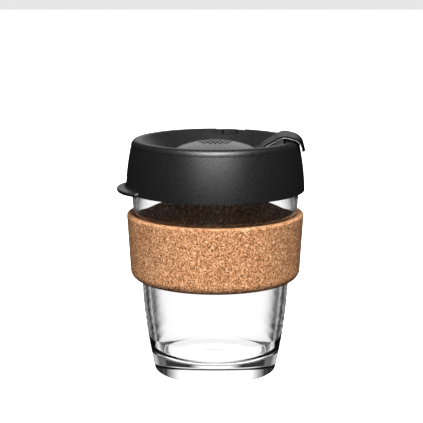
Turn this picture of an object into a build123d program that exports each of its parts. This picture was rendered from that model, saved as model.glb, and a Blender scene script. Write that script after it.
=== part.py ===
from build123d import *
from math import cos, hypot, radians, sin
import os

# Reusable glass coffee cup with a cork band, a press-on lid and a soft swivel plug.
# Millimetres. The origin is the centre of the base, +Z is up, and the plug's arm
# points close to +X when it is shut. The lift tab is on the -X side.

# ---- driving dimensions -------------------------------------------------------------

# Glass tumbler: outer radius at each height, from the base to the lip.
base_radius = 31.0
heel_radius = 1.2
belly_radius, belly_height = 34.85, 22.0
waist_radius, waist_height = 37.45, 53.0
neck_radius, neck_height = 41.95, 88.0
neck_bend = 90.0
lip_height = 106.0
lip_round = 0.9
lip_wall = 2.2
wall = 3.0
floor_height = 9.0
floor_round = 6.0

# Cork band: snug round the upper half of the tumbler.
band_gap = 0.15
band_bottom, band_top = 47.7, 81.0
band_bottom_radius, band_top_radius = 42.7, 44.72
band_bottom_round = 4.8
band_top_round = 0.7

# Lid: one moulding with a skirt, a rounded rim, a dished top and a sealing ring.
lid_bottom = 92.93
lid_radius = 45.0
lid_top = 118.56
rim_round = 3.13
rim_crest_radius = 39.14
skirt_bulge = 0.54
lid_wall = 1.6
dish_shoulder, dish_foot = 38.0, 24.0
dish_height = 109.7
dish_shoulder_round, dish_foot_round = 3.6, 10.0
ring_outer, ring_inner, ring_bottom = 39.45, 38.3, 101.0
ring_chamfer, ring_lead_in = 0.4, 1.2
channel_top = 114.4
lip_clearance = 0.3
stop_rib_count, stop_rib_width, stop_rib_start = 12, 1.4, 15
stop_rib_reach = 43.05
boss_radius, boss_height = 8.0, 1.9
pivot_hole_radius = 5.3
notch_width, notch_depth = 15.0, 0.45
wall_overlap = 0.5

# Lift tab on the bottom edge of the skirt.
tab_angle, tab_half_angle = 189.0, 24.5
tab_reach, tab_thickness, tab_fullness = 4.8, 1.7, 2.2
tab_sink = 0.2
tab_steps = 12

# Swivel plug: a domed hub with a snap post, an arm over the rim and a stopper.
closed_angle, parked_angle = -2.5, 77.5
hub_radius, hub_edge_height = 20.0, 112.1
hub_dome_top, hub_dome_fall = 117.55, 3.3
hub_dome_radius, hub_rim_height = 18.2, 113.3
hub_shell = 1.7
seat_radius, seat_gap = 8.6, 0.3
post_radius = 5.22
barb_radius, barb_height, barb_gap = 6.2, 1.4, 0.35
barb_chamfer = 0.4
post_slot = 1.6
arm_gap = 0.3
arm_root_half, arm_broad_half = 10.0, 11.4
arm_flare_start, arm_flare_end, arm_flare_round = 26.0, 34.0, 12.0
arm_corners = [(14.0, 110.0), (33.8, 121.85), (43.4, 119.4), (45.1, 112.9)]
arm_bends = (7.0, 7.0)
arm_end_round = 7.0
arm_thickness, arm_tip_thickness = 1.3, 1.7
rest_inner, rest_outer, rest_depth, rest_half_angle = 26.5, 34.0, 0.5, 22.0
stopper_radius, stopper_length, stopper_width = 36.0, 8.4, 3.8
stopper_bottom, stopper_top = 113.7, 120.35
stopper_edge_round = 0.7
hole_gap = 0.35
pocket_floor, pocket_wall, pocket_root = 113.2, 1.0, 117.5


def radial_plane(angle):
    """Vertical plane through the axis: its x runs outward at the angle, its y runs up."""
    outward = (cos(radians(angle)), sin(radians(angle)), 0)
    across = (sin(radians(angle)), -cos(radians(angle)), 0)
    return Plane(origin=(0, 0, 0), x_dir=outward, z_dir=across)


def level_plane(angle, height):
    """Horizontal plane at a height whose x runs outward at the angle."""
    outward = (cos(radians(angle)), sin(radians(angle)), 0)
    return Plane(origin=(0, 0, height), x_dir=outward, z_dir=(0, 0, 1))


def beside(corners, depth):
    """The corners of a line that runs beside a bent line, on its right, at a fixed depth."""
    normals = []
    for (x0, y0), (x1, y1) in zip(corners, corners[1:]):
        length = hypot(x1 - x0, y1 - y0)
        normals.append(((y1 - y0) / length, (x0 - x1) / length))
    moved = []
    for place, (x, y) in enumerate(corners):
        before = normals[max(place - 1, 0)]
        after = normals[min(place, len(normals) - 1)]
        reach = depth / (1 + before[0] * after[0] + before[1] * after[1])
        moved.append((x + reach * (before[0] + after[0]), y + reach * (before[1] + after[1])))
    return moved


os.makedirs("parts", exist_ok=True)

# ---- glass tumbler ------------------------------------------------------------------

heel = (base_radius, heel_radius)
belly = (belly_radius, belly_height)
waist = (waist_radius, waist_height)
neck = (neck_radius, neck_height)
inner_wall = beside([(neck_radius, lip_height), neck, waist], wall)

with BuildPart() as glass_cup:
    with BuildSketch(Plane.XZ):
        with BuildLine():
            Line((0, 0), (base_radius - heel_radius, 0))
            Line((base_radius - heel_radius, 0), heel)
            ThreePointArc(heel, belly, waist)
            FilletPolyline(waist, neck, (neck_radius, lip_height), radius=neck_bend)
            Line((neck_radius, lip_height), (neck_radius - lip_wall, lip_height))
            FilletPolyline((neck_radius - lip_wall, lip_height), inner_wall[1], inner_wall[2],
                           radius=neck_bend)
            ThreePointArc(inner_wall[2], (belly_radius - wall, belly_height),
                          (base_radius - wall + 1.0, floor_height))
            Line((base_radius - wall + 1.0, floor_height), (0, floor_height))
            Line((0, floor_height), (0, 0))
        make_face()
    revolve(axis=Axis.Z)
    lip = glass_cup.faces().filter_by(GeomType.PLANE).sort_by(Axis.Z)[-1]
    fillet(lip.edges(), radius=lip_round)
    inner_floor = glass_cup.faces().filter_by(GeomType.PLANE).sort_by(Axis.Z)[1]
    fillet(inner_floor.edges(), radius=floor_round)

glass_cup.part.label = "glass_cup"
export_step(glass_cup.part, "parts/glass_cup.step")

# ---- cork band ----------------------------------------------------------------------

with BuildPart() as cork_band:
    with BuildSketch(Plane.XZ):
        # Outer shape of the band.
        with BuildLine():
            FilletPolyline((base_radius, band_bottom), (band_bottom_radius, band_bottom),
                           (band_top_radius, band_top), (base_radius, band_top),
                           radius=(band_bottom_round, band_top_round))
            Line((base_radius, band_top), (base_radius, band_bottom))
        make_face()
        # The tumbler with a thin gap round it is cut away.
        with BuildLine():
            ThreePointArc((heel[0] + band_gap, heel[1]), (belly[0] + band_gap, belly[1]),
                          (waist[0] + band_gap, waist[1]))
            FilletPolyline((waist[0] + band_gap, waist[1]), (neck[0] + band_gap, neck[1]),
                           (neck[0] + band_gap, lip_height), radius=neck_bend)
            Polyline((neck[0] + band_gap, lip_height), (0, lip_height), (0, 0), (heel[0], 0),
                     (heel[0] + band_gap, heel[1]))
        make_face(mode=Mode.SUBTRACT)
    revolve(axis=Axis.Z)

cork_band.part.label = "cork_band"
export_step(cork_band.part, "parts/cork_band.step")

# ---- lid ----------------------------------------------------------------------------

rim_edge = (rim_crest_radius + rim_round, lid_top - rim_round)
rim_crest = (rim_crest_radius, lid_top)
channel_outer = rim_edge[0] - lid_wall
dish_floor = dish_height - lid_wall
dish = [rim_crest, (dish_shoulder, lid_top), (dish_foot, dish_height),
        (pivot_hole_radius, dish_height)]
under = beside(dish[::-1], lid_wall)
slope_rise = (lid_top - dish_height) / (dish_shoulder - dish_foot)
ring_root = (ring_inner, under[2][1] + slope_rise * (ring_inner - under[2][0]))

with BuildPart() as lid_shell:
    with BuildSketch(Plane.XZ):
        with BuildLine():
            SagittaArc((lid_radius, lid_bottom), rim_edge, -skirt_bulge)
            RadiusArc(rim_edge, rim_crest, -rim_round)
            FilletPolyline(*dish, radius=(dish_shoulder_round, dish_foot_round))
            Line(dish[-1], (pivot_hole_radius, dish_floor))
            FilletPolyline((pivot_hole_radius, dish_floor), (under[1][0], dish_floor), ring_root,
                           radius=dish_foot_round + lid_wall)
            Polyline(ring_root, (ring_inner, ring_bottom + ring_chamfer),
                     (ring_inner + ring_chamfer, ring_bottom),
                     (ring_outer - ring_chamfer, ring_bottom),
                     (ring_outer, ring_bottom + ring_lead_in),
                     (ring_outer, channel_top), (channel_outer, channel_top))
            SagittaArc((channel_outer, channel_top), (lid_radius - lid_wall, lid_bottom),
                       skirt_bulge)
            Line((lid_radius - lid_wall, lid_bottom), (lid_radius, lid_bottom))
        make_face()
    revolve(axis=Axis.Z)

    # Block under the dish for the pocket that parks the stopper.
    with BuildSketch(level_plane(parked_angle, pocket_floor - pocket_wall)):
        with Locations((stopper_radius, 0)):
            SlotOverall(stopper_length + 2 * (hole_gap + pocket_wall),
                        stopper_width + 2 * (hole_gap + pocket_wall), rotation=90)
    extrude(amount=pocket_root - pocket_floor + pocket_wall)

    # The hollow of the dish takes away what stands up through it.
    with BuildSketch(Plane.XZ):
        with BuildLine():
            FilletPolyline(*dish, radius=(dish_shoulder_round, dish_foot_round))
            Polyline(dish[-1], (pivot_hole_radius, lid_top + rim_round),
                     (rim_crest_radius, lid_top + rim_round), rim_crest)
        make_face()
    revolve(axis=Axis.Z, mode=Mode.SUBTRACT)

    # Boss round the pivot hole, which carries the plug's seat.
    with BuildSketch(Plane.XY.offset(dish_height)):
        Circle(boss_radius)
        Circle(pivot_hole_radius, mode=Mode.SUBTRACT)
    extrude(amount=boss_height)

    # Ribs in the channel above the lip, which stop the lid on the glass.
    rib_bottom = lip_height + lip_clearance
    for rib in range(stop_rib_count):
        with BuildSketch(radial_plane(stop_rib_start + rib * 360 / stop_rib_count)):
            with BuildLine():
                Polyline((ring_outer - wall_overlap, rib_bottom), (stop_rib_reach, rib_bottom),
                         (channel_outer + wall_overlap, channel_top + wall_overlap),
                         (ring_outer - wall_overlap, channel_top + wall_overlap), close=True)
            make_face()
        extrude(amount=stop_rib_width / 2, both=True)

    # Lift tab, a flat tongue with full rounded corners.
    with BuildSketch(level_plane(tab_angle, lid_bottom)):
        with BuildLine():
            edge = []
            for step in range(tab_steps + 1):
                share = 2 * step / tab_steps - 1
                angle = radians(share * tab_half_angle)
                fall = (1 - abs(share) ** tab_fullness) ** (1 / tab_fullness)
                reach = lid_radius - tab_sink + tab_reach * fall
                edge.append((reach * cos(angle), reach * sin(angle)))
            inner = lid_radius - lid_wall / 2
            end = (inner * cos(radians(tab_half_angle)), inner * sin(radians(tab_half_angle)))
            Spline(*edge)
            Line(edge[-1], end)
            ThreePointArc(end, (inner, 0), (end[0], -end[1]))
            Line((end[0], -end[1]), edge[0])
        make_face()
    extrude(amount=tab_thickness)

    # Shallow rest in the slope of the dish under the parked arm, which fades out upward.
    rest_low = dish_height + slope_rise * (rest_inner - dish_foot) - rest_depth
    rest_high = dish_height + slope_rise * (rest_outer - dish_foot)
    with BuildSketch(radial_plane(parked_angle - rest_half_angle)):
        with BuildLine():
            Polyline((rest_inner, rest_low), (rest_outer, rest_high), (rest_inner, rest_high),
                     close=True)
        make_face()
    revolve(axis=Axis.Z, revolution_arc=2 * rest_half_angle, mode=Mode.SUBTRACT)

    # Pocket that parks the stopper, closed below by the block.
    with BuildSketch(level_plane(parked_angle, pocket_floor)):
        with Locations((stopper_radius, 0)):
            SlotOverall(stopper_length + 2 * hole_gap, stopper_width + 2 * hole_gap, rotation=90)
    extrude(amount=lid_top - pocket_floor, mode=Mode.SUBTRACT)

    # Sip hole through the slope of the dish.
    with BuildSketch(level_plane(closed_angle, dish_floor)):
        with Locations((stopper_radius, 0)):
            SlotOverall(stopper_length + 2 * hole_gap, stopper_width + 2 * hole_gap, rotation=90)
    extrude(amount=lid_top - dish_floor, mode=Mode.SUBTRACT)

    # Shallow notches in the rim where the arm crosses it, shut and parked.
    for angle in (closed_angle, parked_angle):
        with BuildSketch(level_plane(angle, lid_top - notch_depth)):
            with Locations((rim_crest_radius, 0)):
                Rectangle(3 * rim_round, notch_width)
        extrude(amount=2 * notch_depth, mode=Mode.SUBTRACT)

lid_shell.part.label = "lid_shell"
export_step(lid_shell.part, "parts/lid_shell.step")

# ---- plug hub -----------------------------------------------------------------------


def dome_height(radius):
    """Height of the top of the hub's dome at a radius."""
    return hub_dome_top - hub_dome_fall * (radius / hub_dome_radius) ** 2


dome_edge = (hub_dome_radius, dome_height(hub_dome_radius))
dome_middle = (hub_dome_radius / 2, dome_height(hub_dome_radius / 2))
seat_height = dish_height + boss_height + seat_gap
barb_top = dish_floor - barb_gap
barb_bottom = barb_top - barb_height

with BuildPart() as plug_hub:
    with BuildSketch(Plane.XZ):
        with BuildLine():
            dome = ThreePointArc((0, hub_dome_top), dome_middle, dome_edge)
            TangentArc(dome @ 1, (hub_radius, hub_rim_height), tangent=dome % 1)
            Polyline((hub_radius, hub_rim_height), (hub_radius, hub_edge_height),
                     (hub_radius - hub_shell, hub_edge_height),
                     (hub_radius - hub_shell, dome_edge[1] - hub_shell),
                     (seat_radius, dome_height(seat_radius) - hub_shell),
                     (seat_radius, seat_height), (post_radius, seat_height),
                     (post_radius, barb_top), (barb_radius, barb_top),
                     (barb_radius, barb_top - barb_chamfer),
                     (post_radius - barb_chamfer, barb_bottom), (0, barb_bottom),
                     (0, hub_dome_top))
        make_face()
    revolve(axis=Axis.Z)

    # Cross slots let the snap post squeeze through the pivot hole.
    with BuildSketch(Plane.XY.offset(barb_bottom)):
        Rectangle(post_slot, 2 * barb_radius)
        Rectangle(2 * barb_radius, post_slot)
    extrude(amount=dish_height - barb_bottom, mode=Mode.SUBTRACT)

plug_hub.part.label = "plug_hub"
export_step(plug_hub.part, "parts/plug_hub.step")

# ---- plug arm -----------------------------------------------------------------------

arm_under = beside(arm_corners, arm_thickness)
arm_under[-1] = (arm_corners[-1][0] - arm_tip_thickness, arm_corners[-1][1])
under_bends = tuple(bend - arm_thickness for bend in arm_bends)
arm_tip = arm_corners[-1][0]
arm_outline = [(seat_radius, arm_root_half), (arm_flare_start, arm_root_half),
               (arm_flare_end, arm_broad_half), (arm_tip, arm_broad_half)]
arm_outline += [(along, -across) for along, across in arm_outline[::-1]]
outline_rounds = (arm_flare_round, arm_flare_round, arm_end_round)

with BuildPart() as plug_arm:
    # Side shape: a thin strip that climbs from the hub and folds down over the rim.
    with BuildSketch(radial_plane(closed_angle)):
        with BuildLine():
            FilletPolyline(*arm_corners, radius=arm_bends)
            Line(arm_corners[-1], arm_under[-1])
            FilletPolyline(*arm_under[::-1], radius=under_bends[::-1])
            Line(arm_under[0], arm_corners[0])
        make_face()
    extrude(amount=hub_radius, both=True)

    # Plan shape: a tongue whose root follows the round edge of the hub.
    with BuildSketch(level_plane(closed_angle, dish_height)):
        with BuildLine():
            FilletPolyline(*arm_outline, radius=outline_rounds + outline_rounds[::-1])
            Line(arm_outline[-1], arm_outline[0])
        make_face()
        Circle(hub_radius + arm_gap, mode=Mode.SUBTRACT)
    extrude(amount=hub_radius, mode=Mode.INTERSECT)

plug_arm.part.label = "plug_arm"
export_step(plug_arm.part, "parts/plug_arm.step")

# ---- sip stopper --------------------------------------------------------------------

with BuildPart() as sip_stopper:
    with BuildSketch(level_plane(closed_angle, stopper_bottom)):
        with Locations((stopper_radius, 0)):
            SlotOverall(stopper_length, stopper_width, rotation=90)
    extrude(amount=stopper_top - stopper_bottom)
    fillet(sip_stopper.faces().sort_by(Axis.Z)[0].edges(), radius=stopper_edge_round)
    add(plug_arm.part, mode=Mode.SUBTRACT)

sip_stopper.part.label = "sip_stopper"
export_step(sip_stopper.part, "parts/sip_stopper.step")
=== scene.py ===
import math
import bpy
import numpy as np
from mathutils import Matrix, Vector


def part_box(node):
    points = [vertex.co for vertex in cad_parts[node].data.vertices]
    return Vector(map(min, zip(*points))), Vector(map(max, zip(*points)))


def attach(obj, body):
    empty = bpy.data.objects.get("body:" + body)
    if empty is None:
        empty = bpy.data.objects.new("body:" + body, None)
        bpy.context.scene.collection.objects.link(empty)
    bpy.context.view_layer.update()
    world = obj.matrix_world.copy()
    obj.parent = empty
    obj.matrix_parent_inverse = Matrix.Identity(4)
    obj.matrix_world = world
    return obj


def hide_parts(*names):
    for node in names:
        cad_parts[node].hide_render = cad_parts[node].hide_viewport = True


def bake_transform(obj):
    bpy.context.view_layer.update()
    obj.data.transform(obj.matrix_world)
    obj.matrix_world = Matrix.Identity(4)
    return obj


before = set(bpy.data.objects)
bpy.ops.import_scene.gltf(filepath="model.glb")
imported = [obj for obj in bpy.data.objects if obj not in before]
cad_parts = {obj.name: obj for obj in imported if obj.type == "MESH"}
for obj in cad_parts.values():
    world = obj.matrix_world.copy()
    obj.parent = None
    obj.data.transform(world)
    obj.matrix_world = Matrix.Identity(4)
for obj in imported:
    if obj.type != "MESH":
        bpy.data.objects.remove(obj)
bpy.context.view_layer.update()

# Reusable glass coffee cup: a pressed tumbler, a cork band, a press-on lid and a swivel plug.

# ---- sizes, in millimetres and degrees unless a note says otherwise -------------------

MM = 0.001          # metres
ON_AXIS = 1e-6      # a smaller radius counts as on the axis

# Heights and radii that the frame gives.
glass_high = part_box("glass_cup")[1]
band_low, band_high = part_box("cork_band")
lid_low, lid_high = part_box("lid_shell")
LIP_HEIGHT = glass_high.z / MM
NECK_RADIUS = glass_high.y / MM
BAND_BOTTOM, BAND_TOP = band_low.z / MM, band_high.z / MM
LID_BOTTOM, LID_TOP = lid_low.z / MM, lid_high.z / MM
LID_RADIUS = lid_high.y / MM

# Glass tumbler. The belly and the waist are an outer radius and its height.
BASE_RADIUS, HEEL_HEIGHT = 31.0, 1.2
HEEL_INSET, HEEL_ROUND = 0.15, 1.1
BELLY, WAIST = (34.85, 22.0), (37.45, 53.0)
NECK_HEIGHT, NECK_BEND = 88.0, 90.0
INNER_NECK_DROP, INNER_NECK_BEND = 6.0, 60.0
LIP_WALL, LIP_ROUND, GLASS_WALL = 2.2, 0.95, 3.0
FLOOR_HEIGHT, FLOOR_ROUND, FLOOR_FLARE, FLOOR_TO_WALL = 9.0, 6.0, 1.0, 9.0
MARK_RADIUS, MARK_BEVEL, MARK_DEPTH = 7.4, 1.0, 0.06
GLASS_ROWS, GLASS_TURNS = 90, 384

# The uneven inside of the pressed glass. A wave has its share, and two factors that give how
# often it runs round the cup, its turn in radians per millimetre of height, and its start.
WAVE_HEIGHT, WAVE_SKIN = 0.07, 1.5
WAVE_START, WAVE_RISE, WAVE_FADE = 7.0, 8.0, 25.0
SEAM_FOCUS = 6
WAVES = [(1.0, (5, 0.9, 0.0), (-3, 0.55, 1.3)), (0.6, (11, -1.7, 0.5), (7, 0.9, 0.0))]

# Cork band.
BAND_GAP = 0.15
BAND_BOTTOM_RADIUS, BAND_TOP_RADIUS = 42.7, 44.68
BAND_BOTTOM_ROUND, BAND_TOP_ROUND = 4.8, 0.9
BAND_ROWS, BAND_TURNS = 40, 512

# Lid.
RIM_ROUND, RIM_CREST = 3.13, 39.14
RIM_EDGE = (RIM_CREST + RIM_ROUND, LID_TOP - RIM_ROUND)
SKIRT_BULGE, SKIRT_EDGE, LID_WALL = 0.54, 1.0, 1.6
DISH_SHOULDER, DISH_FOOT, DISH_HEIGHT = 38.0, 24.0, 109.7
DISH_SHOULDER_ROUND, DISH_FOOT_ROUND = 3.6, 10.0
DISH_SLOPE = (LID_TOP - DISH_HEIGHT) / (DISH_SHOULDER - DISH_FOOT)
RING_OUTER, RING_INNER, RING_BOTTOM = 39.45, 38.3, 101.0
RING_ROOT_ROUND, RING_INNER_ROUND, RING_OUTER_ROUND = 0.6, 0.4, 0.5
CHANNEL_TOP, CHANNEL_ROUND = 114.4, 0.4
BOSS_RADIUS, BOSS_HEIGHT, PIVOT_HOLE = 8.0, 1.9, 5.3
BOSS_FOOT_ROUND, BOSS_TOP_ROUND = 0.4, 0.3
NOTCH_WIDTH, NOTCH_DEPTH, NOTCH_EASE = 15.0, 0.45, 0.6
REST_INNER, REST_OUTER, REST_DEPTH = 26.5, 34.0, 0.5
REST_HALF_ANGLE, REST_EASE = 22.0, 0.5
RIB_COUNT, RIB_WIDTH, RIB_START = 12, 1.4, 15
RIB_BOTTOM, RIB_REACH, RIB_OVERLAP = 106.3, 43.05, 0.5
RIM_ROWS, SKIRT_ROWS, INSIDE_ROWS, LID_TURNS = 16, 34, 20, 720

# Lift tab. A row has its height above the skirt's edge, its share of the reach and its inset.
TAB_ANGLE, TAB_HALF_ANGLE, TAB_REACH, TAB_FULLNESS = 189.0, 24.5, 4.6, 2.2
TAB_ROWS = [
    (0.0, 1.0, 0.45), (0.1, 1.0, 0.15), (0.35, 1.0, 0.0), (0.8, 1.0, 0.0), (1.25, 1.0, 0.0),
    (1.5, 1.0, 0.12), (1.65, 1.0, 0.4), (1.72, 0.85, 0.3), (1.8, 0.66, 0.1), (1.9, 0.48, 0.0),
    (2.02, 0.33, 0.0), (2.2, 0.2, 0.0), (2.5, 0.1, 0.0), (2.9, 0.03, 0.0), (3.4, 0.0, 0.0),
]

# Swivel plug: the hub with its dome, its lattice, its seat and its snap post.
SHUT_ANGLE, PARKED_ANGLE = -2.5, 77.5
HUB_RADIUS, HUB_BOTTOM, HUB_LEDGE, HUB_SHELL = 20.0, 112.1, 112.55, 1.7
HUB_TOP, HUB_FALL, HUB_DOME = 117.55, 3.3, 18.2
HUB_ROLL_REACH, HUB_ROLL_DROP = 1.4, 0.7
LATTICE_RADIUS, LATTICE_PITCH, LATTICE_LEAN, LATTICE_DEPTH = 8.6, 2.5, 0.35, 0.5
LATTICE_FADE, GROOVE_SPREAD = 0.4, 0.34
LATTICE_STEP, DOME_STEP, DOME_SKIN, HUB_TURNS = 0.15, 0.4, 1.6, 288
SEAT_RADIUS, SEAT_ROOT = 8.6, 115.1
SEAT_BOTTOM = DISH_HEIGHT + BOSS_HEIGHT + 0.3
POST_RADIUS, BARB_RADIUS, BARB_HEIGHT, BARB_CHAMFER = 5.22, 6.2, 1.4, 0.4
BARB_TOP = DISH_HEIGHT - LID_WALL - 0.35

# The arm. Its line is a radius and a height at each bend. Its beads run along its sides, as how
# far in from the side, and how far down from the top or up from the bottom.
ARM_LINE = [(13.0, 115.86), (19.4, 113.3), (33.8, 121.85), (43.4, 119.4), (45.1, 112.9)]
ARM_BENDS, ARM_STEP = (6.0, 7.0, 7.0), 0.35
ARM_HALF, ARM_BROAD = 10.0, 11.4
ARM_THICK, ARM_TIP_THICK, ARM_TIP_LENGTH = 1.3, 1.7, 8.0
ARM_END_ROUND, ARM_END_FULLNESS = 6.5, 0.9
FLARE_START, FLARE_LENGTH = 26.0, 8.0
ROOT_END, ROOT_LENGTH, ROOT_FLARE = 24.0, 8.0, 2.0
UPPER_BEAD = [(1.2, 0.0), (0.5, 0.0), (0.26, 0.01), (0.1, 0.07), (0.01, 0.2), (0.01, 0.36),
              (0.1, 0.46), (0.3, 0.52)]
LOWER_BEAD = [(0.3, 0.5), (0.12, 0.46), (0.0, 0.36), (0.0, 0.2), (0.1, 0.06), (0.26, 0.0), (1.2, 0.0)]
# How many faces of each lower bead take the paler grey, a painted highlight.
BEAD_FACES = 4
BEAD_SPACING = 0.02

# The stopper on the arm, its hole in the lid and the pocket where it is parked.
STOPPER_RADIUS, STOPPER_LENGTH, STOPPER_WIDTH, HOLE_GAP = 36.0, 8.4, 3.8, 0.35
POCKET_FLOOR, POCKET_WALL, POCKET_SINK = 113.2, 1.0, 1.0
HOLE_OVERRUN, HOLE_STEPS = 2.0, 20


# ---- arithmetic ---------------------------------------------------------------------

def clamp(value):
    """The value, kept between 0 and 1."""
    return min(1.0, max(0.0, value))


def ease(share):
    """A share between 0 and 1, with a soft start and a soft end."""
    return share * share * (3 - 2 * share)


def turned(x, y, turn):
    """The point (x, y) turned round the axis by an angle in radians."""
    return x * math.cos(turn) - y * math.sin(turn), x * math.sin(turn) + y * math.cos(turn)


def away_from(centre, angle):
    """How far in radians an angle in radians is from a centre in degrees."""
    return abs(math.remainder(angle - math.radians(centre), 2 * math.pi))


# ---- outlines -----------------------------------------------------------------------

def straight(start, end, step):
    """Points from start up to, but not including, end, about one step apart."""
    count = max(1, round(math.dist(start, end) / step))
    return [(start[0] + (end[0] - start[0]) * k / count,
             start[1] + (end[1] - start[1]) * k / count) for k in range(count)]


def rounded(corners, radii, step=0.6):
    """A bent line whose inner corners are rounded, as points about one step apart."""
    points, at = [], corners[0]
    for (ax, ay), (bx, by), (cx, cy), radius in zip(corners, corners[1:], corners[2:], radii):
        inward = Vector((ax - bx, ay - by)).normalized()
        onward = Vector((cx - bx, cy - by)).normalized()
        half = inward.angle(onward) / 2
        if radius <= 0 or half > math.pi / 2 - 0.002:
            points += straight(at, (bx, by), step)
            at = (bx, by)
            continue
        reach = radius / math.tan(half)
        first = Vector((bx, by)) + inward * reach
        last = Vector((bx, by)) + onward * reach
        middle = Vector((bx, by)) + (inward + onward).normalized() * (radius / math.sin(half))
        points += straight(at, tuple(first), step)
        sweep = math.pi - 2 * half
        count = max(3, round(radius * sweep / step))
        sign = 1 if inward.cross(onward) < 0 else -1
        begin = math.atan2(first.y - middle.y, first.x - middle.x)
        for k in range(count):
            turn = begin + sign * sweep * k / count
            points.append((middle.x + radius * math.cos(turn), middle.y + radius * math.sin(turn)))
        at = tuple(last)
    points += straight(at, corners[-1], step)
    return points + [corners[-1]]


def thinned(points, gap=0.02):
    """The points without any that repeat the one before."""
    kept = []
    for point in points:
        if not kept or math.dist(point, kept[-1]) > gap:
            kept.append(point)
    return kept


# ---- meshes -------------------------------------------------------------------------

def make_mesh(name, vertices, faces):
    """A smooth-shaded object from vertices in millimetres."""
    mesh = bpy.data.meshes.new(name)
    mesh.from_pydata([(x * MM, y * MM, z * MM) for x, y, z in vertices], [], faces)
    mesh.validate()
    mesh.shade_smooth()
    piece = bpy.data.objects.new(name, mesh)
    bpy.context.scene.collection.objects.link(piece)
    return piece


def lathe(name, outline, turns, loop=True, shape=None):
    """Turns an outline of (radius, height) round the axis. shape moves a point at an angle."""
    outline = thinned(outline)
    rows = len(outline)
    angles = [2 * math.pi * k / turns for k in range(turns)]
    vertices, row_start = [], []
    for radius, height in outline:
        row_start.append(len(vertices))
        if radius < ON_AXIS:
            vertices.append((0, 0, height))
            continue
        for angle in angles:
            r, z = shape(radius, height, angle) if shape else (radius, height)
            vertices.append((r * math.cos(angle), r * math.sin(angle), z))
    faces = []
    for row in range(rows if loop else rows - 1):
        after = (row + 1) % rows
        low, high = row_start[row], row_start[after]
        low_pole, high_pole = outline[row][0] < ON_AXIS, outline[after][0] < ON_AXIS
        for k in range(turns):
            n = (k + 1) % turns
            if low_pole:
                faces.append((low, high + n, high + k))
            elif high_pole:
                faces.append((low + k, low + n, high))
            else:
                faces.append((low + k, low + n, high + n, high + k))
    return make_mesh(name, vertices, faces)


def crease(piece, degrees):
    """Edges sharper than this angle stay sharp, and the rest shade smoothly."""
    piece.data.set_sharp_from_angle(angle=math.radians(degrees))


def combine_shapes(piece, block, operation):
    """Adds the block's shape to the piece, or takes it out, and removes the block."""
    modifier = piece.modifiers.new("block", "BOOLEAN")
    modifier.object = block
    modifier.operation = operation
    modifier.solver = "MANIFOLD"
    graph = bpy.context.evaluated_depsgraph_get()
    made = bpy.data.meshes.new_from_object(piece.evaluated_get(graph))
    piece.modifiers.clear()
    old = piece.data
    piece.data = made
    bpy.data.meshes.remove(old)
    bpy.data.objects.remove(block)


def tube(rings):
    """Vertices and faces of a closed tube through rings of points, with flat ends."""
    vertices = [point for ring in rings for point in ring]
    count = len(rings[0])
    last = len(vertices) - count
    faces = []
    for low in range(0, last, count):
        for k in range(count):
            n = (k + 1) % count
            faces.append((low + k, low + n, low + count + n, low + count + k))
    faces.append(tuple(range(count))[::-1])
    faces.append(tuple(range(last, last + count)))
    return vertices, faces


def slot_block(angle, bottom, top, gap, slope=0.0):
    """A stadium-shaped block lying across the radius, as the stopper does. Its top may slope."""
    half = STOPPER_WIDTH / 2 + gap
    reach = STOPPER_LENGTH / 2 + gap - half
    outline = []
    for side in (1, -1):
        for k in range(HOLE_STEPS + 1):
            turn = math.pi * k / HOLE_STEPS
            outline.append((STOPPER_RADIUS + side * half * math.cos(turn),
                            side * (reach + half * math.sin(turn))))
    spin = math.radians(angle)
    low = [(*turned(x, y, spin), bottom) for x, y in outline]
    high = [(*turned(x, y, spin), top + slope * (x - STOPPER_RADIUS)) for x, y in outline]
    return make_mesh("block", *tube([low, high]))


def stop_ribs():
    """The wedges in the channel of the lid that stop it on the lip of the glass."""
    root, top = RING_OUTER - RIB_OVERLAP, CHANNEL_TOP + RIB_OVERLAP
    outline = [(root, RIB_BOTTOM), (RIB_REACH, RIB_BOTTOM),
               (RIM_EDGE[0] - LID_WALL + RIB_OVERLAP, top), (root, top)]
    vertices, faces = [], []
    for rib in range(RIB_COUNT):
        turn = math.radians(RIB_START + rib * 360 / RIB_COUNT)
        rib_vertices, rib_faces = tube([[(*turned(r, side, turn), z) for r, z in outline]
                                        for side in (RIB_WIDTH / 2, -RIB_WIDTH / 2)])
        faces += [tuple(len(vertices) + k for k in face) for face in rib_faces]
        vertices += rib_vertices
    return make_mesh("block", vertices, faces)


# ---- material building blocks -------------------------------------------------------

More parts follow.
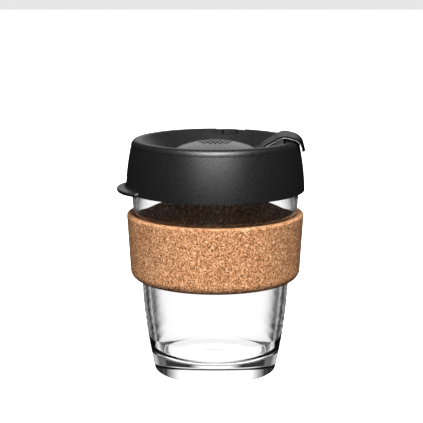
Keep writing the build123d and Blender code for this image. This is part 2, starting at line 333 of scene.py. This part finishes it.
class Nodes:
    """A short way to write a node material."""

    def __init__(self, name):
        self.material = bpy.data.materials.new(name)
        self.material.use_nodes = True
        self.tree = self.material.node_tree
        self.shader = self.tree.nodes["Principled BSDF"]

    def add(self, kind, **values):
        """A node, with values for its sockets or its properties."""
        node = self.tree.nodes.new(kind)
        for key, value in values.items():
            if key in node.inputs.keys():
                node.inputs[key].default_value = value
            else:
                setattr(node, key, value)
        return node

    def link(self, source, output, target, socket):
        self.tree.links.new(source.outputs[output], target.inputs[socket])

    def set(self, **values):
        """Values for the shader's sockets, with an underscore for each space."""
        for key, value in values.items():
            self.shader.inputs[key.replace("_", " ")].default_value = value

    def texture(self, kind, **values):
        """A texture placed by the object's own coordinates, in metres."""
        node = self.add(kind, **values)
        self.link(self.add("ShaderNodeTexCoord"), "Object", node, "Vector")
        return node

    def ramp(self, source, output, stops):
        """Colours, or plain values, along a texture's output."""
        node = self.add("ShaderNodeValToRGB")
        ramp = node.color_ramp
        while len(ramp.elements) < len(stops):
            ramp.elements.new(0.5)
        for element, (position, colour) in zip(ramp.elements, stops):
            element.position = position
            element.color = (*colour, 1) if isinstance(colour, tuple) else (colour, colour, colour, 1)
        self.link(source, output, node, "Fac")
        return node

    def multiply(self, first, second, share):
        """The socket that gives the product of two nodes' colours."""
        node = self.add("ShaderNodeMix", data_type="RGBA", blend_type="MULTIPLY")
        node.inputs["Factor"].default_value = share
        colour_sockets = [socket for socket in node.inputs if socket.type == "RGBA"]
        for source, socket in zip((first, second), colour_sockets):
            self.tree.links.new(source.outputs["Color"], socket)
        return next(socket for socket in node.outputs if socket.type == "RGBA")

    def bump(self, source, output, strength, distance, before=None):
        """Relief from a texture's output, on top of the relief before it."""
        node = self.add("ShaderNodeBump", Strength=strength, Distance=distance)
        self.link(source, output, node, "Height")
        if before:
            self.link(before, "Normal", node, "Normal")
        return node


def glass_material():
    n = Nodes("tempered_glass")
    n.set(Base_Color=(1, 1, 1, 1), Roughness=0.0, IOR=1.5, Transmission_Weight=1.0)
    return n.material


def cork_material():
    n = Nodes("pressed_cork")
    grains = n.texture("ShaderNodeTexVoronoi", Scale=1450.0)
    tint = n.ramp(grains, "Color", [(0.0, (0.14, 0.042, 0.013)), (0.3, (0.37, 0.17, 0.077)),
                                    (0.7, (0.55, 0.285, 0.14)), (1.0, (0.84, 0.54, 0.32))])
    fine = n.texture("ShaderNodeTexNoise", Scale=1900.0, Detail=3.0, Roughness=0.6)
    specks = n.ramp(fine, "Fac", [(0.41, (0.03, 0.01, 0.004)), (0.47, (0.8, 0.75, 0.7)),
                                  (0.56, (1, 1, 1))])
    n.tree.links.new(n.multiply(tint, specks, share=0.9), n.shader.inputs["Base Color"])
    relief = n.bump(grains, "Distance", strength=0.5, distance=0.0003)
    relief = n.bump(fine, "Fac", strength=0.9, distance=0.0004, before=relief)
    n.link(relief, "Normal", n.shader, "Normal")
    n.set(Roughness=0.9, Specular_IOR_Level=0.12)
    return n.material


def lid_material():
    n = Nodes("grained_black_plastic")
    grain = n.texture("ShaderNodeTexNoise", Scale=1700.0, Detail=2.0, Roughness=0.7)
    n.link(n.bump(grain, "Fac", strength=0.6, distance=0.00015), "Normal", n.shader, "Normal")
    patches = n.texture("ShaderNodeTexNoise", Scale=2100.0, Detail=1.0)
    n.link(n.ramp(patches, "Fac", [(0.35, 0.24), (0.65, 0.42)]), "Color", n.shader, "Roughness")
    n.set(Base_Color=(0.006, 0.006, 0.0062, 1))
    return n.material


def plug_material(name, tone, shine):
    n = Nodes(name)
    grain = n.texture("ShaderNodeTexNoise", Scale=2600.0, Detail=2.0)
    n.link(n.bump(grain, "Fac", strength=0.2, distance=0.0001), "Normal", n.shader, "Normal")
    n.link(n.ramp(grain, "Fac", [(0.3, 0.22), (0.7, 0.32)]), "Color", n.shader, "Roughness")
    n.set(Base_Color=(tone, tone, tone, 1), Specular_IOR_Level=shine)
    return n.material


GLASS, CORK, LID = glass_material(), cork_material(), lid_material()
PLUG = plug_material("satin_charcoal_rubber", tone=0.045, shine=0.5)
# Near-black rubber for the arm; the dome's lattice grooves take it too, as painted shade.
ARM_RUBBER_AND_GROOVE_SHADE = plug_material("satin_black_rubber_and_groove_shade", tone=0.003, shine=0.05)
# A paler, shinier grey along the lower bead of each side of the arm: a painted highlight.
ARM_EDGE_HIGHLIGHT = plug_material("rubber_edge_painted_highlight", tone=0.15, shine=0.5)


def finish_piece(piece, material, body=None, replaced=()):
    """Material, material slot, body and the CAD nodes that the piece stands for."""
    piece.data.materials.clear()
    piece.data.materials.append(material)
    if body:
        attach(piece, body)
    if replaced:
        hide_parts(*replaced)


# ---- glass tumbler ------------------------------------------------------------------

def side_radius(height):
    """Outer radius of the tumbler at a height, up to the waist."""
    (x0, z0), (x1, z1), (x2, z2) = (BASE_RADIUS, HEEL_HEIGHT), BELLY, WAIST
    a = (height - z1) * (height - z2) / ((z0 - z1) * (z0 - z2))
    b = (height - z0) * (height - z2) / ((z1 - z0) * (z1 - z2))
    c = (height - z0) * (height - z1) / ((z2 - z0) * (z2 - z1))
    return a * x0 + b * x1 + c * x2


def uneven_glass(radius, height, angle):
    """Pressed glass is a little uneven inside, low down near the two mould seams."""
    above = height - FLOOR_HEIGHT
    if above < WAVE_START or radius > side_radius(min(height, WAIST[1])) - WAVE_SKIN:
        return radius, height
    low = clamp((above - WAVE_START) / WAVE_RISE) * math.exp(-above / WAVE_FADE)
    seam = abs(math.cos(angle)) ** SEAM_FOCUS
    wave = 0.0
    for share, *factors in WAVES:
        wave += share * math.prod(math.sin(around * angle + climb * height + start)
                                  for around, climb, start in factors)
    return radius + WAVE_HEIGHT * low * seam * wave, height


def tumbler():
    heights = np.linspace(HEEL_HEIGHT, WAIST[1], GLASS_ROWS)
    outer = [(side_radius(h), h) for h in heights]
    lip_inside = NECK_RADIUS - LIP_WALL
    upper = [WAIST, (NECK_RADIUS, NECK_HEIGHT), (NECK_RADIUS, LIP_HEIGHT), (lip_inside, LIP_HEIGHT),
             (lip_inside, NECK_HEIGHT - INNER_NECK_DROP), (WAIST[0] - GLASS_WALL, WAIST[1])]
    upper = rounded(upper, (NECK_BEND, LIP_ROUND, LIP_ROUND, INNER_NECK_BEND), step=0.7)
    inner = [(side_radius(h) - GLASS_WALL, h) for h in heights[::-1] if h > FLOOR_HEIGHT + FLOOR_TO_WALL]
    foot = rounded([inner[-1], (BASE_RADIUS - GLASS_WALL + FLOOR_FLARE, FLOOR_HEIGHT), (0, FLOOR_HEIGHT)],
                   (FLOOR_ROUND,), step=0.5)
    heel = rounded([(0, MARK_DEPTH), (MARK_RADIUS, MARK_DEPTH), (MARK_RADIUS + MARK_BEVEL, 0),
                    (BASE_RADIUS - HEEL_INSET, 0), outer[0]], (0, 0, HEEL_ROUND), step=0.25)
    outline = heel + outer[1:] + upper[1:] + inner[1:] + foot[1:]
    piece = lathe("glass_tumbler", outline, GLASS_TURNS, loop=False, shape=uneven_glass)
    finish_piece(piece, GLASS, "cup", ["glass_cup"])


# ---- cork band ----------------------------------------------------------------------

def cork():
    flat_start = 1.0
    outer = rounded([(WAIST[0] + flat_start, BAND_BOTTOM), (BAND_BOTTOM_RADIUS, BAND_BOTTOM),
                     (BAND_TOP_RADIUS, BAND_TOP), (NECK_RADIUS + flat_start, BAND_TOP)],
                    (BAND_BOTTOM_ROUND, BAND_TOP_ROUND), step=0.5)
    slope = (NECK_RADIUS - WAIST[0]) / (NECK_HEIGHT - WAIST[1])

    def glass_radius(height):
        if height < WAIST[1]:
            return side_radius(height)
        return WAIST[0] + slope * (height - WAIST[1])

    inner = [(glass_radius(h) + BAND_GAP, h) for h in np.linspace(BAND_TOP, BAND_BOTTOM, BAND_ROWS)]
    piece = lathe("cork_grip_band", outer[1:-1] + inner, BAND_TURNS)
    finish_piece(piece, CORK, "band", ["cork_band"])


# ---- lid ----------------------------------------------------------------------------

def tab_reach(angle):
    """How far the lift tab stands out from the skirt at an angle in radians."""
    share = min(1.0, math.degrees(away_from(TAB_ANGLE, angle)) / TAB_HALF_ANGLE)
    return TAB_REACH * (1 - share ** TAB_FULLNESS) ** (1 / TAB_FULLNESS)


def skirt_radius(height):
    """Outer radius of the lid's skirt at a height."""
    share = (height - LID_BOTTOM) / (RIM_EDGE[1] - LID_BOTTOM)
    return LID_RADIUS + (RIM_EDGE[0] - LID_RADIUS) * share + 4 * SKIRT_BULGE * share * (1 - share)


def notch_depth(angle):
    """Depth of the rim's shallow notches, where the arm crosses it shut and parked."""
    away = min(away_from(SHUT_ANGLE, angle), away_from(PARKED_ANGLE, angle)) * RIM_CREST
    return NOTCH_DEPTH * clamp((NOTCH_WIDTH / 2 + NOTCH_EASE - away) / NOTCH_EASE)


def rest_depth(radius, angle):
    """Depth of the shallow rest in the dish under the parked arm, which fades out upward."""
    across = clamp((REST_HALF_ANGLE - math.degrees(away_from(PARKED_ANGLE, angle))) / REST_EASE)
    return REST_DEPTH * across * (REST_OUTER - radius) / (REST_OUTER - REST_INNER)


def lid_outside():
    """The skirt and the rim, from the bottom edge up to the crest."""
    outer = [(LID_RADIUS - SKIRT_EDGE, LID_BOTTOM)]
    heights = [LID_BOTTOM + rise for rise, _, _ in TAB_ROWS]
    heights += list(np.linspace(heights[-1] + 0.5, RIM_EDGE[1], SKIRT_ROWS))
    outer += [(skirt_radius(h), h) for h in heights]
    for k in range(1, RIM_ROWS + 1):
        turn = math.pi / 2 * k / RIM_ROWS
        outer.append((RIM_CREST + RIM_ROUND * math.cos(turn), RIM_EDGE[1] + RIM_ROUND * math.sin(turn)))
    return outer


def lid():
    boss_top, ceiling = DISH_HEIGHT + BOSS_HEIGHT, DISH_HEIGHT - LID_WALL
    dish = rounded([(RIM_CREST, LID_TOP), (DISH_SHOULDER, LID_TOP), (DISH_FOOT, DISH_HEIGHT),
                    (BOSS_RADIUS, DISH_HEIGHT), (BOSS_RADIUS, boss_top), (PIVOT_HOLE, boss_top),
                    (PIVOT_HOLE, ceiling)],
                   (DISH_SHOULDER_ROUND, DISH_FOOT_ROUND, BOSS_FOOT_ROUND, BOSS_TOP_ROUND, BOSS_TOP_ROUND),
                   step=0.5)
    foot = DISH_FOOT + LID_WALL * (math.hypot(1, DISH_SLOPE) - 1) / DISH_SLOPE
    ring_root = (RING_INNER, ceiling + DISH_SLOPE * (RING_INNER - foot))
    under = rounded([(PIVOT_HOLE, ceiling), (foot, ceiling), ring_root, (RING_INNER, RING_BOTTOM),
                     (RING_OUTER, RING_BOTTOM), (RING_OUTER, CHANNEL_TOP),
                     (RIM_EDGE[0] - LID_WALL, CHANNEL_TOP)],
                    (DISH_FOOT_ROUND + LID_WALL, RING_ROOT_ROUND, RING_INNER_ROUND, RING_OUTER_ROUND,
                     CHANNEL_ROUND), step=0.8)
    inside = [(skirt_radius(h) - LID_WALL, h)
              for h in np.linspace(CHANNEL_TOP - CHANNEL_ROUND, LID_BOTTOM, INSIDE_ROWS)]
    tab_at = {LID_BOTTOM + rise: (share, inset) for rise, share, inset in TAB_ROWS}
    rest_rows = {(r, z) for r, z in dish if REST_INNER < r < REST_OUTER}

    def shape(radius, height, angle):
        if height in tab_at and radius > LID_RADIUS - SKIRT_EDGE:
            share, inset = tab_at[height]
            reach = tab_reach(angle)
            return radius + share * reach - inset * min(1.0, reach), height
        if height > LID_TOP - NOTCH_DEPTH:
            return radius, min(height, LID_TOP - notch_depth(angle))
        if (radius, height) in rest_rows:
            return radius, height - rest_depth(radius, angle)
        return radius, height

    outline = lid_outside() + dish[1:] + under[1:] + inside[1:]
    piece = lathe("press_on_lid", outline, LID_TURNS, shape=shape)
    combine_shapes(piece, stop_ribs(), "UNION")
    under_dish = DISH_HEIGHT - POCKET_SINK + DISH_SLOPE * (STOPPER_RADIUS - DISH_FOOT)
    combine_shapes(piece, slot_block(PARKED_ANGLE, POCKET_FLOOR - POCKET_WALL, under_dish,
                                     HOLE_GAP + POCKET_WALL, DISH_SLOPE), "UNION")
    for angle, bottom in ((PARKED_ANGLE, POCKET_FLOOR), (SHUT_ANGLE, DISH_HEIGHT)):
        hole = slot_block(angle, bottom, LID_TOP + HOLE_OVERRUN, HOLE_GAP)
        combine_shapes(piece, hole, "DIFFERENCE")
    crease(piece, degrees=40)
    finish_piece(piece, LID, "lid", ["lid_shell"])


# ---- swivel plug --------------------------------------------------------------------

def dome_height(radius):
    """Height of the top of the plug's dome at a radius."""
    return HUB_TOP - HUB_FALL * (radius / HUB_DOME) ** 2


def lattice_groove(x, y):
    """Depth of the diamond lattice that is pressed into the middle of the dome."""
    edge = clamp((LATTICE_RADIUS - math.hypot(x, y)) / LATTICE_FADE)
    depth = 0.0
    for lean in (1, -1):
        across = (x + lean * LATTICE_LEAN * y) / LATTICE_PITCH
        off = abs(across - round(across)) * LATTICE_PITCH
        depth = max(depth, math.exp(-(off / GROOVE_SPREAD) ** 2))
    return LATTICE_DEPTH * depth * edge


def pressed_dome(radius, height, angle):
    """The top of the dome with the lattice pressed into it."""
    if height < HUB_TOP - DOME_SKIN or radius > LATTICE_RADIUS:
        return radius, height
    return radius, height - lattice_groove(radius * math.cos(angle), radius * math.sin(angle))


def hub():
    fine_end = LATTICE_RADIUS + 4 * LATTICE_STEP
    radii = list(np.arange(0, fine_end, LATTICE_STEP))
    radii += list(np.arange(fine_end + 2 * LATTICE_STEP, HUB_DOME, DOME_STEP))
    dome = [(radius, dome_height(radius)) for radius in radii]
    inside, post_bottom = HUB_RADIUS - HUB_SHELL, BARB_TOP - BARB_HEIGHT
    # Each corner of the edge, the seat and the snap post, with its round.
    corners = [((HUB_DOME + HUB_ROLL_REACH, dome_height(HUB_DOME) - HUB_ROLL_DROP), 1.0),
               ((HUB_RADIUS, HUB_BOTTOM), 0.3), ((inside, HUB_BOTTOM), 0.3), ((inside, HUB_LEDGE), 0.2),
               ((SEAT_RADIUS, SEAT_ROOT), 1.0), ((SEAT_RADIUS, SEAT_BOTTOM), 0.2),
               ((POST_RADIUS, SEAT_BOTTOM), 0.2), ((POST_RADIUS, BARB_TOP), 0.1),
               ((BARB_RADIUS, BARB_TOP), 0.1), ((BARB_RADIUS, BARB_TOP - BARB_CHAMFER), 0.1),
               ((POST_RADIUS - BARB_CHAMFER, post_bottom), 0.2)]
    edge = rounded([dome[-1], *(corner for corner, _ in corners), (0, post_bottom)],
                   [corner_round for _, corner_round in corners], step=0.3)
    piece = lathe("plug_dome", dome[:-1] + edge, HUB_TURNS, loop=False, shape=pressed_dome)
    crease(piece, degrees=50)
    finish_piece(piece, PLUG, "plug", ["plug_hub"])
    piece.data.materials.append(ARM_RUBBER_AND_GROOVE_SHADE)
    # Faces deep in the lattice grooves take the near-black arm rubber: painted shade in the grooves.
    for face in piece.data.polygons:
        x, y, z = face.center / MM
        if z > HUB_TOP - DOME_SKIN and lattice_groove(x, y) > LATTICE_DEPTH / 2:
            face.material_index = 1


def arm_section(half, thick):
    """Section of the arm: a flat top, and sides with a groove between two rounded beads."""
    side = [(half - inset, -drop) for inset, drop in UPPER_BEAD]
    side += [(half - inset, rise - thick) for inset, rise in LOWER_BEAD]
    side = [(max(across, BEAD_SPACING * (k + 1)), lift) for k, (across, lift) in enumerate(side)]
    return side + [(-across, lift) for across, lift in side[::-1]]


def arm():
    middle = rounded(ARM_LINE, ARM_BENDS, ARM_STEP)
    lengths = [0.0]
    for before, after in zip(middle, middle[1:]):
        lengths.append(lengths[-1] + math.dist(before, after))
    spin = math.radians(SHUT_ANGLE)
    rings = []
    for place, (x, z) in enumerate(middle):
        before, after = middle[max(place - 1, 0)], middle[min(place + 1, len(middle) - 1)]
        run = Vector((after[0] - before[0], after[1] - before[1])).normalized()
        left = lengths[-1] - lengths[place]
        root = ease(clamp((ROOT_END - x) / ROOT_LENGTH))
        half = ARM_HALF + (ARM_BROAD - ARM_HALF) * ease(clamp((x - FLARE_START) / FLARE_LENGTH))
        half += ROOT_FLARE * root
        if left < ARM_END_ROUND:
            bow = math.sqrt(max(0.0, 1 - (1 - left / ARM_END_ROUND) ** 2)) ** ARM_END_FULLNESS
            half += ARM_END_ROUND * (bow - 1)
        thick = ARM_THICK + (ARM_TIP_THICK - ARM_THICK) * max(0.0, 1 - left / ARM_TIP_LENGTH)
        ring = []
        for across, lift in arm_section(half, thick):
            drape = root * HUB_FALL * (across / HUB_DOME) ** 2
            ring.append((*turned(x - run.y * lift, across, spin), z + run.x * lift - drape))
        rings.append(ring)
    piece = make_mesh("plug_arm_tongue", *tube(rings))
    crease(piece, degrees=60)
    finish_piece(piece, ARM_RUBBER_AND_GROOVE_SHADE, None, ["plug_arm"])
    # The lower bead on each side of the arm takes the paler grey: a painted highlight along its edge.
    piece.data.materials.append(ARM_EDGE_HIGHLIGHT)
    count = len(rings[0])
    highlight_faces = [len(UPPER_BEAD) + 1 + k for k in range(BEAD_FACES)]
    for row in range(len(rings) - 1):
        for k in highlight_faces + [count - 2 - k for k in highlight_faces]:
            piece.data.polygons[row * count + k].material_index = 1
    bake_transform(piece)


tumbler()
cork()
lid()
hub()
arm()
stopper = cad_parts["sip_stopper"]
stopper.data.materials.clear()
stopper.data.materials.append(PLUG)

# ---- floor, light and camera --------------------------------------------------------

CAMERA_PLACE = (-1.887, -686.1, 213.27)
CAMERA_PITCH = 10.893
CAMERA_LENS, SENSOR_WIDTH = 117.6, 36.0
NEAREST_VIEW = 10.0
FLOOR_HALF, FLOOR_TONE, FLOOR_GLOW = 4000.0, 0.9, 0.75
BOUNCES = 24

# What the glass looks through to: a room with a window in the middle of each of its four walls.
# Each stop pairs a place with a brightness. The turns are shares of half a turn from the middle
# of the nearest wall, and the heights run from straight down, 0, to straight up, 1.
WINDOW_GLOW, WINDOW_SHADE = 1.5, 0.03
WALL_SPACING = 0.25
# The windows, at every height.
LEVEL_STOPS = [(0.0, 1.0), (0.035, 1.0), (0.095, 0.03), (0.25, 0.03)]
# A dim upright strip on each side of a window and another near the corner, low down only.
STRIP_STOPS = [(0.105, 0.0), (0.12, 0.35), (0.145, 0.35), (0.165, 0.0), (0.20, 0.0), (0.225, 0.25)]
STRIP_HEIGHT_STOPS = [(0.38, 1.0), (0.43, 0.0)]
# A narrow level band, a little below the horizon.
BAND_TURN_STOPS = [(0.0, 1.0), (0.14, 1.0), (0.19, 0.0)]
BAND_HEIGHT_STOPS = [(0.380, 0.0), (0.392, 0.9), (0.412, 0.9), (0.424, 0.0)]
# The corners of the room, seen only by paths that were not mirrored inside the glass.
CORNER_STOPS = [(0.205, 0.0), (0.225, 0.14), (0.25, 0.14)]
# The ground, and the part of the walls above the horizon, which is dimmer towards the corners.
DOWNWARD_STOPS = [(0.0, 1.0), (0.23, 1.0), (0.30, 0.0), (1.0, 0.0)]
UPWARD_TURN_STOPS = [(0.0, 1.0), (0.145, 1.0), (0.183, 0.55), (0.21, 0.3), (0.245, 0.03), (0.25, 0.03)]
UPWARD_STOPS = [(0.0, 0.0), (0.49, 0.0), (0.52, 0.8), (0.62, 1.0), (1.0, 1.0)]
# The dark ceiling.
WINDOW_HEIGHT_STOPS = [(0.0, 1.0), (0.74, 1.0), (0.84, 0.05), (1.0, 0.05)]
# What mirrored paths see, by the share of half a turn from straight behind the cup.
MIRRORED_STOPS = [(0.0, 1.0), (0.25, 1.0), (0.29, 0.06), (1.0, 0.06)]
MIRRORED_LEAST = 1.5

# What lights the surfaces. Each box has its strength, its brightness by the share of half a
# turn from straight behind the cup, and its brightness from straight down, 0, to straight up, 1.
LIGHT_BOXES = [
    (23.0, [(0.795, 0.0), (0.915, 1.0)],
     [(0.50, 0.0), (0.66, 0.23), (0.84, 1.0), (0.96, 1.2), (0.985, 0.0)]),
    (9.5, [(0.5, 0.0), (0.8, 1.0)],
     [(0.88, 0.0), (0.93, 1.0), (0.96, 1.0), (0.985, 0.0)]),
    (1.0, [(0.05, 1.0), (0.11, 0.0)],
     [(0.515, 0.0), (0.55, 0.6), (0.62, 1.0), (0.80, 1.0), (0.9, 0.0)]),
]
ROOM_GLOW = 0.015


def light_room(tree):
    """Bright windows for what the glass looks through to, and light boxes for the rest."""
    tree.nodes.clear()

    def node(kind, **values):
        made = tree.nodes.new(kind)
        for key, value in values.items():
            setattr(made, key, value)
        return made

    def fill(sockets, values):
        """Gives each socket its value, or links it to the output that gives it."""
        for socket, value in zip(sockets, values):
            if isinstance(value, (int, float)):
                socket.default_value = value
            else:
                tree.links.new(value, socket)

    def ramp(source, stops, smooth="EASE"):
        made = node("ShaderNodeValToRGB")
        made.color_ramp.interpolation = smooth
        while len(made.color_ramp.elements) < len(stops):
            made.color_ramp.elements.new(0.5)
        for element, (position, value) in zip(made.color_ramp.elements, stops):
            element.position = position
            element.color = (value, value, value, 1)
        fill([made.inputs["Fac"]], [source])
        return made.outputs["Color"]

    def combine(operation, *values):
        made = node("ShaderNodeMath", operation=operation)
        fill(made.inputs, values)
        return made.outputs[0]

    def mix(share, first, second):
        """The first value where the share is 0, and the second where it is 1."""
        made = node("ShaderNodeMix", data_type="FLOAT")
        fill((made.inputs[0], made.inputs[2], made.inputs[3]), (share, first, second))
        return made.outputs[0]

    parts = node("ShaderNodeSeparateXYZ")
    fill(parts.inputs, [node("ShaderNodeTexCoord").outputs["Generated"]])
    turn = combine("ARCTAN2", parts.outputs["X"], parts.outputs["Y"])
    turn = combine("DIVIDE", combine("ABSOLUTE", turn), math.pi)
    height = combine("MULTIPLY_ADD", parts.outputs["Z"], 0.5, 0.5)
    folded = combine("PINGPONG", turn, WALL_SPACING)
    path = node("ShaderNodeLightPath").outputs

    # A mirrored path has turned back inside the glass at least twice.
    mirrored = combine("SUBTRACT", path["Ray Depth"], path["Transmission Depth"])
    mirrored = combine("SUBTRACT", mirrored, path["Diffuse Depth"])
    mirrored = combine("GREATER_THAN", mirrored, MIRRORED_LEAST)

    upward = combine("MULTIPLY", ramp(folded, UPWARD_TURN_STOPS, "LINEAR"), ramp(height, UPWARD_STOPS))
    strips = combine("MULTIPLY", ramp(folded, STRIP_STOPS), ramp(height, STRIP_HEIGHT_STOPS))
    band = combine("MULTIPLY", ramp(folded, BAND_TURN_STOPS), ramp(height, BAND_HEIGHT_STOPS))
    corner = combine("MULTIPLY", ramp(folded, CORNER_STOPS), combine("SUBTRACT", 1.0, mirrored))
    windows = ramp(folded, LEVEL_STOPS)
    for part in (upward, strips, band, ramp(height, DOWNWARD_STOPS), corner):
        windows = combine("MAXIMUM", windows, part)
    for share in (ramp(height, WINDOW_HEIGHT_STOPS), WINDOW_GLOW,
                  mix(mirrored, 1.0, ramp(turn, MIRRORED_STOPS))):
        windows = combine("MULTIPLY", windows, share)
    windows = combine("MAXIMUM", windows, WINDOW_SHADE)

    room = ROOM_GLOW
    for strength, turn_stops, height_stops in LIGHT_BOXES:
        box = combine("MULTIPLY", ramp(turn, turn_stops), ramp(height, height_stops))
        room = combine("MULTIPLY_ADD", box, strength, room)

    seen = mix(path["Is Transmission Ray"], room, windows)
    background = node("ShaderNodeBackground")
    fill([background.inputs["Strength"]], [mix(path["Is Camera Ray"], seen, 1.0)])
    fill([node("ShaderNodeOutputWorld").inputs["Surface"]], [background.outputs[0]])


def pale_floor():
    """A pale ground that only the camera sees and that catches the shadow."""
    sides = ((-1, -1), (1, -1), (1, 1), (-1, 1))
    floor = make_mesh("floor", [(FLOOR_HALF * x, FLOOR_HALF * y, 0) for x, y in sides], [(0, 1, 2, 3)])
    n = Nodes("pale_floor")
    n.set(Base_Color=(FLOOR_TONE, FLOOR_TONE, FLOOR_TONE, 1), Roughness=0.8,
          Emission_Color=(1, 1, 1, 1), Emission_Strength=FLOOR_GLOW)
    floor.data.materials.append(n.material)
    floor.visible_diffuse = False
    floor.visible_glossy = False
    floor.visible_transmission = False


def studio():
    scene = bpy.context.scene
    scene.view_settings.view_transform = "Standard"
    scene.cycles.max_bounces = BOUNCES
    scene.cycles.transmission_bounces = BOUNCES
    world = bpy.data.worlds.new("studio")
    scene.world = world
    world.use_nodes = True
    light_room(world.node_tree)
    pale_floor()


def camera():
    data = bpy.data.cameras.new("camera")
    data.lens = CAMERA_LENS
    data.sensor_width = SENSOR_WIDTH
    data.clip_start = NEAREST_VIEW * MM
    view = bpy.data.objects.new("camera", data)
    view.location = Vector(CAMERA_PLACE) * MM
    view.rotation_euler = (math.radians(90 - CAMERA_PITCH), 0, 0)
    bpy.context.scene.collection.objects.link(view)
    bpy.context.scene.camera = view


studio()
camera()
